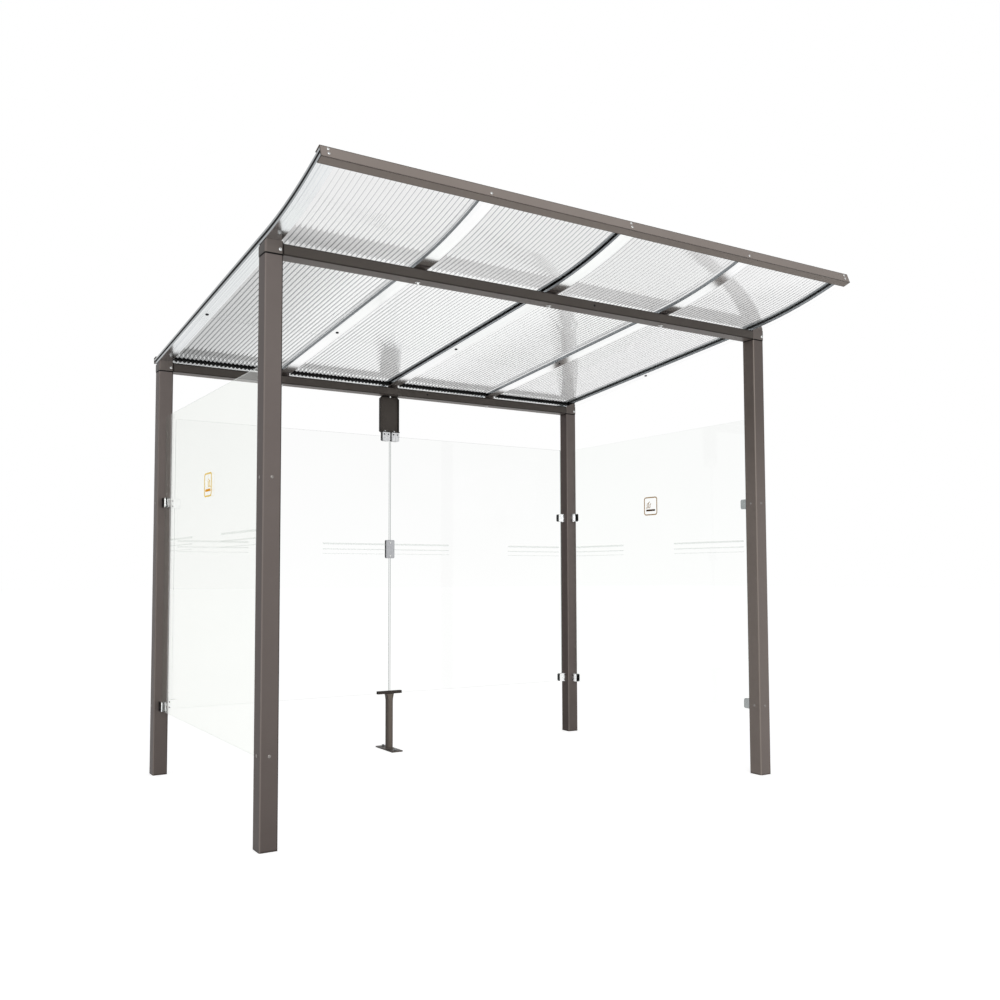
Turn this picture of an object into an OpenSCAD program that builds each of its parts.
// Open-fronted smoking shelter: four square posts, two beams, bowed rafters
// under a small-wave sheet roof, and clear glass on the back and both ends.
// +Z is up, the open front faces -Y and the length runs along X.
// The origin is on the floor, midway along the length and midway between the
// front and rear edges of the roof.

/* [Frame] */
// Overall length over the end posts
frame_l = 3000; // [2800:10:3200]
// Overall depth over the front and rear posts
frame_d = 1800; // [1700:10:1900]
// Side of the square post tube
post_w = 80; // [74:1:86]
// Wall of the post and beam tubes
tube_t = 3; // [2:0.5:4]
// Outer corner radius of the tubes
tube_r = 6; // [4:0.5:8]
// Height of the beam tubes
beam_h = 50; // [40:1:60]
// Height of the rafter undersides over the rear face of the rear posts
eaves_z = 2330; // [2200:5:2450]

/* [Post heads] */
// Wall by which a head stands proud of its post
head_t = 2; // [1:0.5:3]
// Height of a head on its outer, lower side
head_h = 56; // [48:1:64]
// Radius of the head's two upper corners
head_r = 12; // [6:1:16]
// Length of post inside the head
head_socket = 24; // [16:1:30]

/* [Roof] */
// Slope of the straight part of the roof, in degrees
roof_slope = 6; // [4:0.5:8]
// Distance behind the front posts' faces where the kick starts
kick_y = 20; // [0:1:60]
// Radius of the kick, on the underside of the rafters
kick_r = 2624; // [2400:1:2800]
// Angle through which the kick turns, in degrees
kick_angle = 13.3; // [11:0.1:15]
// Overhang of the rafters behind the rear posts
rear_overhang = 42; // [30:1:60]
// Width of a rafter
rafter_w = 70; // [64:1:76]
// Height of the rafter body under the seals
rafter_h = 13; // [11:1:15]
// Wall of the rafter and cap extrusions
rafter_t = 2.5; // [2:0.25:3]
// Height of the cap over the seals
cap_h = 17; // [14:1:20]
// Thickness of the rubber seals under the sheets
lower_seal_t = 5; // [4:0.5:6]
// Thickness of the rubber seals over the sheets
upper_seal_t = 2; // [1.5:0.5:3]

/* [Roof sheets] */
// Depth of one wave, over both skins
wave_h = 8; // [6:0.5:9]
// Length of one wave
wave_l = 24.3; // [22:0.1:27]
// Thickness of the sheet, measured upright
sheet_t = 1.6; // [1.2:0.2:2.4]

/* [Roof edges] */
// Depth of the edge channel, front to rear
edge_d = 40; // [30:1:50]
// Wall of the edge channel
edge_t = 2.5; // [2:0.25:3]

/* [Glass] */
// Thickness of the glass
glass_t = 8; // [6:1:10]
// Height of the lower edge of the glass
glass_z = 358; // [300:1:400]
// Height of a pane
glass_h = 1656; // [1500:1:1660]
// Gap between a pane and the post beside it
glass_gap = 30; // [26:1:34]
// Gap between the two rear panes
pane_gap = 10; // [8:1:14]
// Radius of the pane corners
pane_r = 6; // [3:0.5:8]

/* [Glass clamps] */
// Reach of a clamp from the face it is bolted to
clamp_l = 58; // [54:1:64]
// Width of a clamp across its reach
clamp_w = 55; // [48:1:60]
// Thickness of a clamp through the glass
clamp_t = 28; // [24:1:32]
// Radius of the clamp's free corners
clamp_r = 10; // [6:1:16]
// Height of the upper row of clamps
clamp_z = 1523; // [1400:1:1600]
// Height of the lower row of clamps above the glass edge
clamp_rise = 25; // [24:1:60]

/* [Centre supports] */
// Width of the hanging bracket
hanger_w = 146; // [130:1:160]
// Plate thickness of the hanging bracket
hanger_t = 4; // [3:0.5:6]
// Depth of the hanging bracket's two flanges
hanger_d = 44; // [36:1:60]
// Distance between the two clamps on the bracket
hanger_pitch = 66; // [62:1:80]
// Width of the joint plate between the rear panes
joint_w = 60; // [50:1:70]
// Height of the joint plate
joint_h = 118; // [100:1:130]
// Height of the middle of the joint plate
joint_z = 1281; // [1200:1:1400]
// Length of the glass shoe on the foot
shoe_l = 170; // [150:1:200]
// Width of the foot's base plate
foot_w = 76; // [70:1:90]
// Depth of the foot's base plate
foot_d = 230; // [200:1:260]
// Thickness of the foot's base plate
foot_t = 8; // [6:1:10]
// Distance between the two anchor holes in the foot
foot_hole_pitch = 170; // [150:1:180]
// Diameter of the anchor holes in the foot
foot_hole_d = 12; // [10:1:14]

/* [Hidden] */
arc_steps = 5;
far = 400;
kick_steps = 360;
post_x = (frame_l - post_w) / 2;
rear_post_y = frame_d - post_w;
post_end_t = 6;

// Roof line: height of the rafter undersides at a depth y on the straight part
function under_z(y) = eaves_z + (frame_d - y) * tan(roof_slope);
kick_cy = kick_y + kick_r * sin(roof_slope);
kick_cz = under_z(kick_y) + kick_r * cos(roof_slope);
nose_slope = roof_slope + kick_angle;
nose_y = kick_cy - kick_r * sin(nose_slope);
nose_z = kick_cz - kick_r * cos(nose_slope);
rear_y = frame_d + rear_overhang;
rear_z = under_z(rear_y);
straight_l = (rear_y - kick_y) / cos(roof_slope);

// Layers of the roof, counted up from the rafter undersides
sheet_v = rafter_h + lower_seal_t;
cap_v = sheet_v + wave_h + upper_seal_t;
roof_h = cap_v + cap_h;
edge_play = 0.4;
edge_h = roof_h + edge_play;

// Front and rear edges of the roof, and the origin midway between them
front_edge_y = nose_y - edge_t * cos(nose_slope) - edge_t * sin(nose_slope);
rear_edge_y = rear_y + edge_t * cos(roof_slope) + (edge_h + edge_t) * sin(roof_slope);
mid_y = (front_edge_y + rear_edge_y) / 2;

rafter_x = [
    -(frame_l - rafter_w) / 2,
    -frame_l / 4,
    0,
    frame_l / 4,
    (frame_l - rafter_w) / 2,
];
web_w = 20;
seal_inset = 2;
sheet_play = 5;
waves = floor((frame_l / 2 - rafter_w / 2 - web_w - 2 * sheet_play) / wave_l);
sheet_w = waves * wave_l;
sheet_x = -(web_w / 2 + sheet_play + sheet_w / 2);
sheet_end_play = 4;
rafter_end_play = edge_d - edge_t;

beam_l = frame_l - 2 * post_w - 2 * head_t;
front_beam_z = under_z(post_w) - beam_h;
rear_beam_z = under_z(frame_d) - beam_h;
front_head_z = under_z(0) - head_h;
rear_head_z = under_z(rear_post_y) - head_h;

rear_glass_y = frame_d - post_w / 2;
side_glass_l = frame_d - 2 * post_w - 2 * glass_gap;
rear_glass_l = (frame_l - 2 * post_w - 2 * glass_gap - pane_gap) / 2;
lower_clamp_z = glass_z + clamp_rise;
glass_top = glass_z + glass_h;
slot_play = 2;
// The bracket's lower flange carries its clamps over the top of the glass
hanger_bottom = glass_top + glass_gap - 4;
hanger_top = rear_beam_z;
shoe_w = 24;
shoe_t = 4;
shoe_grip = 14;
stem_d = 48;
stem_top = glass_z - shoe_t;
flat_w = 56;
flat_t = 24;
flat_h = 62;
weld = 6;

brown = [0.45, 0.41, 0.39];
alu = [0.8, 0.81, 0.82];

// Points of a circular arc
function arc(cx, cy, r, a0, a1, n = arc_steps) = [
    for (i = [0:n])
        let (a = a0 + (a1 - a0) * i / n)
        [cx + r * cos(a), cy + r * sin(a)]
];

// Rectangle w by d about the origin, with all four corners rounded
module rounded_rect(w, d, r) {
    x = w / 2 - r;
    y = d / 2 - r;
    polygon(concat(
        arc(x, y, r, 0, 90),
        arc(-x, y, r, 90, 180),
        arc(-x, -y, r, 180, 270),
        arc(x, -y, r, 270, 360)
    ));
}

// Puts a piece given from the front posts' faces into the shelter's own frame
module sited() {
    translate([0, -mid_y, 0]) children();
}

// Sweeps a section along the roof line: a straight run, then the upward kick.
// In the section x is across the roof and y is up from the rafter undersides.
module along_roof(rear_play) {
    run = straight_l - rear_play;
    sited()
        translate([0, kick_y, under_z(kick_y)])
        rotate([90 - roof_slope, 0, 0])
        union() {
            translate([0, 0, -run]) linear_extrude(run) children();
            translate([0, kick_r, 0])
                rotate([90, 0, -90])
                rotate_extrude(angle = kick_angle, $fn = kick_steps)
                translate([kick_r, 0])
                rotate(90)
                mirror([1, 0]) children();
        }
}

// Square tube post, with an end plate welded in at the floor
module post(x, y, head_z) {
    h = head_z + head_socket;
    color(brown)
        sited()
        translate([x, y + post_w / 2, 0])
        difference() {
            linear_extrude(h) rounded_rect(post_w, post_w, tube_r);
            translate([0, 0, post_end_t])
                linear_extrude(h)
                rounded_rect(post_w - 2 * tube_t, post_w - 2 * tube_t, tube_r - tube_t);
        }
}

// Cap over a post, cut to the roof's slope, with its upper corners rounded
module head(x, y, head_z) {
    w = post_w + 2 * head_t;
    top_y = y + post_w;
    color(brown)
        sited()
        translate([x, 0, 0])
        difference() {
            intersection() {
                translate([0, y + post_w / 2, head_z])
                    linear_extrude(far) rounded_rect(w, w, tube_r + head_t);
                translate([0, top_y + far / 2, under_z(top_y + far / 2)])
                    rotate([90 - roof_slope, 0, 0])
                    linear_extrude(2 * far)
                    polygon(concat(
                        [[-far, -far], [far, -far], [far, -head_r - 1]],
                        [[w / 2, -head_r - 1]],
                        arc(w / 2 - head_r, -head_r, head_r, 0, 90),
                        arc(-w / 2 + head_r, -head_r, head_r, 90, 180),
                        [[-w / 2, -head_r - 1], [-far, -head_r - 1]]
                    ));
            }
            translate([0, y + post_w / 2, head_z - 1])
                linear_extrude(head_socket + 1) rounded_rect(post_w, post_w, tube_r);
        }
}

// Tube laid between two post heads, its upper rear edge under the rafters
module beam(y, z) {
    color(brown)
        sited()
        translate([0, y + post_w / 2, z + beam_h / 2])
        rotate([90, 0, 90])
        linear_extrude(beam_l, center = true)
        difference() {
            rounded_rect(post_w, beam_h, tube_r);
            rounded_rect(post_w - 2 * tube_t, beam_h - 2 * tube_t, tube_r - tube_t);
        }
}

// Hollow rafter extrusion. A carrying rafter has an upstand for a cap, and a
// plain one reaches up to the sheet by itself.
module rafter_section(upstand) {
    h = upstand ? rafter_h : sheet_v;
    w = rafter_w;
    t = rafter_t;
    difference() {
        union() {
            translate([-w / 2, 0]) square([w, h]);
            if (upstand)
                translate([-web_w / 2, h - 0.5]) square([web_w, cap_v - h + 0.5]);
        }
        translate([-w / 2 + t, t]) square([(w - 3 * t) / 2, h - 2 * t]);
        translate([t / 2, t]) square([(w - 3 * t) / 2, h - 2 * t]);
    }
}

module rafter(i) {
    color(alu)
        translate([rafter_x[i], 0, 0])
        along_roof(rafter_end_play) rafter_section(i % 2 == 0);
}

// Black seals of one carrying rafter, below and above the sheet on a side
// that holds one, and closing the groove on an outer side
module seals(i) {
    color("black")
        translate([rafter_x[i], 0, 0])
        for (side = [-1, 1]) {
            holds_sheet = i == 2 || (side > 0) == (i == 0);
            if (holds_sheet) {
                seal(side, rafter_h, sheet_v);
                seal(side, sheet_v + wave_h, cap_v);
            } else {
                seal(side, rafter_h, cap_v);
            }
        }
}

module seal(side, from_v, to_v) {
    w = (rafter_w - web_w) / 2 - seal_inset;
    along_roof(rafter_end_play)
        translate([side > 0 ? web_w / 2 : -web_w / 2 - w, from_v])
        square([w, to_v - from_v]);
}

// Hollow cap extrusion with sloped shoulders, over a carrying rafter
module cap(i) {
    w = rafter_w / 2 - 1;
    s = 6;
    t = rafter_t;
    color(alu)
        translate([rafter_x[i], 0, 0])
        along_roof(0)
        translate([0, cap_v])
        difference() {
            polygon([[-w, 0], [w, 0], [w, cap_h - s], [w - s, cap_h], [s - w, cap_h], [-w, cap_h - s]]);
            translate([-w + t + s / 2, t]) square([2 * w - 2 * t - s, cap_h - 2 * t - s / 2]);
        }
}

// Section of a waved sheet, drawn as flat crests and troughs with sloped sides
function wave_edge(lift) = [
    for (i = [0:waves - 1], p = [[0.1, 0], [0.4, 1], [0.6, 1], [0.9, 0]])
        [(i + p[0]) * wave_l - sheet_w / 2, lift + p[1] * (wave_h - sheet_t)]
];
function backwards(a) = [for (i = [len(a) - 1:-1:0]) a[i]];

module roof_sheet(side) {
    color([0.9, 0.92, 0.92, 0.5])
        translate([side * -sheet_x, 0, 0])
        along_roof(sheet_end_play)
        polygon(concat(
            [[-sheet_w / 2, sheet_v]],
            wave_edge(sheet_v),
            [[sheet_w / 2, sheet_v], [sheet_w / 2, sheet_v + sheet_t]],
            backwards(wave_edge(sheet_v + sheet_t)),
            [[-sheet_w / 2, sheet_v + sheet_t]]
        ));
}

// Channel that closes an edge of the roof above the level low; x runs in over
// the roof from its end and y is up from the rafter undersides
module edge_section(low) {
    t = edge_t;
    d = edge_d - t;
    h = edge_h;
    polygon([
        [d, low], [0, low], [0, h], [d, h],
        [d, h + t], [-t, h + t], [-t, low - t], [d, low - t],
    ]);
}

// The front channel takes in the whole rafter ends
module front_edge() {
    color(brown)
        sited()
        translate([0, nose_y, nose_z])
        rotate([-nose_slope, 0, 0])
        rotate([90, 0, 90])
        linear_extrude(frame_l, center = true) edge_section(0);
}

// The rear channel takes in the sheets and caps, over the cut rafter ends
module rear_edge() {
    color(brown)
        sited()
        translate([0, rear_y, rear_z])
        rotate([-roof_slope, 0, 0])
        rotate([90, 0, 90])
        linear_extrude(frame_l, center = true)
        mirror([1, 0]) edge_section(sheet_v);
}

// Pane standing on its lower edge, with its thickness along Y
module pane(l) {
    color([0.85, 0.92, 0.9, 0.3])
        rotate([90, 0, 0])
        linear_extrude(glass_t, center = true)
        translate([0, glass_h / 2])
        rounded_rect(l, glass_h, pane_r);
}

module side_pane(side) {
    sited()
        translate([side * post_x, frame_d / 2, glass_z])
        rotate([0, 0, 90]) pane(side_glass_l);
}

module rear_pane(side) {
    sited()
        translate([side * (pane_gap + rear_glass_l) / 2, rear_glass_y, glass_z])
        pane(rear_glass_l);
}

// Clamp bolted to a face at x = 0 and reaching along +X over a pane's edge
module clamp() {
    x = clamp_l - clamp_r;
    y = clamp_w / 2 - clamp_r;
    color("silver")
        rotate([90, 0, 0])
        difference() {
            linear_extrude(clamp_t, center = true)
                polygon(concat(
                    [[0, clamp_w / 2]],
                    [[0, -clamp_w / 2]],
                    arc(x, -y, clamp_r, 270, 360),
                    arc(x, y, clamp_r, 0, 90)
                ));
            translate([glass_gap - slot_play, -clamp_w, -glass_t / 2])
                cube([clamp_l, 2 * clamp_w, glass_t]);
        }
}

// Upper and lower clamp on one face of a post, pointing along the angle a
module clamp_pair(x, y, a) {
    sited()
        for (z = [lower_clamp_z, clamp_z])
            translate([x, y, z]) rotate([0, 0, a]) clamp();
}

module upper_clamp(side) {
    sited()
        translate([side * hanger_pitch / 2, rear_glass_y, hanger_bottom])
        rotate([0, 90, 0]) clamp();
}

// Folded plate that hangs from the rear beam and carries two clamps
module hanging_bracket() {
    t = hanger_t;
    w = hanger_w / 2;
    c = 18;
    h = hanger_top - hanger_bottom;
    color(brown)
        sited()
        translate([0, rear_glass_y, hanger_bottom]) {
            translate([0, t / 2, 0])
                rotate([90, 0, 0])
                linear_extrude(t)
                polygon([[-w, 0], [w, 0], [w, h - c], [w - c, h], [c - w, h], [-w, h - c]]);
            translate([-w, -hanger_d / 2, 0]) cube([2 * w, hanger_d, t]);
            translate([c - w, -hanger_d / 2, h - t]) cube([2 * (w - c), hanger_d, t]);
        }
}

// Plates on both faces of the rear panes, tied through the gap between them
module joint_plate() {
    plate_t = 6;
    tie_w = pane_gap - 4;
    color("silver")
        sited()
        translate([0, rear_glass_y, joint_z]) {
            for (side = [-1, 1])
                translate([0, side * (glass_t + plate_t) / 2, 0])
                    rotate([90, 0, 0])
                    linear_extrude(plate_t, center = true)
                    rounded_rect(joint_w, joint_h, 8);
            cube([tie_w, glass_t + 1, joint_h - 20], center = true);
        }
}

// Channel under the meeting corners of the rear panes
module glass_shoe() {
    slot = glass_t;
    color(brown)
        sited()
        translate([0, rear_glass_y, glass_z - shoe_t])
        difference() {
            translate([-shoe_l / 2, -shoe_w / 2, 0])
                cube([shoe_l, shoe_w, shoe_t + shoe_grip]);
            translate([-shoe_l, -slot / 2, shoe_t]) cube([2 * shoe_l, slot, far]);
        }
}

// Foot: a round tube pressed flat at the top, where it spreads along the
// glass, and welded to a bolted base plate
module centre_foot() {
    h = stem_top - foot_t;
    w = sqrt(stem_d * stem_d - flat_t * flat_t) / 2 - 1;
    r = flat_w / 2 - w;
    sweep = 2 * atan(r / flat_h);
    flare_r = flat_h / sin(sweep);
    color(brown)
        sited()
        translate([0, rear_glass_y, 0])
        difference() {
            union() {
                translate([-foot_w / 2, -foot_d / 2, 0]) cube([foot_w, foot_d, foot_t]);
                translate([0, 0, foot_t - 0.5]) {
                    cylinder(h = weld + 0.5, d1 = stem_d + 2 * weld + 1, d2 = stem_d, $fn = 48);
                    intersection() {
                        cylinder(h = h + 0.5, d = stem_d, $fn = 48);
                        rotate([90, 0, 90])
                            linear_extrude(2 * stem_d, center = true)
                            polygon([
                                [-stem_d, 0], [stem_d, 0],
                                [stem_d, h + 0.5 - flat_h], [stem_d / 2, h + 0.5 - flat_h],
                                [flat_t / 2, h + 0.5], [-flat_t / 2, h + 0.5],
                                [-stem_d / 2, h + 0.5 - flat_h], [-stem_d, h + 0.5 - flat_h],
                            ]);
                    }
                }
                translate([0, 0, stem_top - flat_h])
                    rotate([90, 0, 0])
                    linear_extrude(flat_t, center = true)
                    polygon(concat(
                        [[-w, 0], [w, 0]],
                        arc(w + flare_r, 0, flare_r, 180, 180 - sweep),
                        arc(-w - flare_r, 0, flare_r, sweep, 0)
                    ));
            }
            for (y = [-1, 1])
                translate([0, y * foot_hole_pitch / 2, -1])
                    cylinder(h = foot_t + 2, d = foot_hole_d, $fn = 48);
        }
}

post(-post_x, 0, front_head_z);  // front_left_post
post(post_x, 0, front_head_z);  // front_right_post
post(-post_x, rear_post_y, rear_head_z);  // rear_left_post
post(post_x, rear_post_y, rear_head_z);  // rear_right_post
head(-post_x, 0, front_head_z);  // front_left_head
head(post_x, 0, front_head_z);  // front_right_head
head(-post_x, rear_post_y, rear_head_z);  // rear_left_head
head(post_x, rear_post_y, rear_head_z);  // rear_right_head
beam(0, front_beam_z);  // front_beam
beam(rear_post_y, rear_beam_z);  // rear_beam
rafter(0);  // left_rafter
rafter(1);  // left_centre_rafter
rafter(2);  // centre_rafter
rafter(3);  // right_centre_rafter
rafter(4);  // right_rafter
seals(0);  // left_seals
seals(2);  // centre_seals
seals(4);  // right_seals
cap(0);  // left_cap
cap(2);  // centre_cap
cap(4);  // right_cap
roof_sheet(-1);  // left_roof_sheet
roof_sheet(1);  // right_roof_sheet
front_edge();
rear_edge();
side_pane(-1);  // left_glass
side_pane(1);  // right_glass
rear_pane(-1);  // rear_left_glass
rear_pane(1);  // rear_right_glass
clamp_pair(-post_x, post_w, 90);  // front_left_clamps
clamp_pair(post_x, post_w, 90);  // front_right_clamps
clamp_pair(-post_x, rear_post_y, -90);  // rear_left_end_clamps
clamp_pair(post_x, rear_post_y, -90);  // rear_right_end_clamps
clamp_pair(-post_x + post_w / 2, rear_glass_y, 0);  // rear_left_clamps
clamp_pair(post_x - post_w / 2, rear_glass_y, 180);  // rear_right_clamps
upper_clamp(-1);  // upper_left_clamp
upper_clamp(1);  // upper_right_clamp
hanging_bracket();
joint_plate();
glass_shoe();
centre_foot();
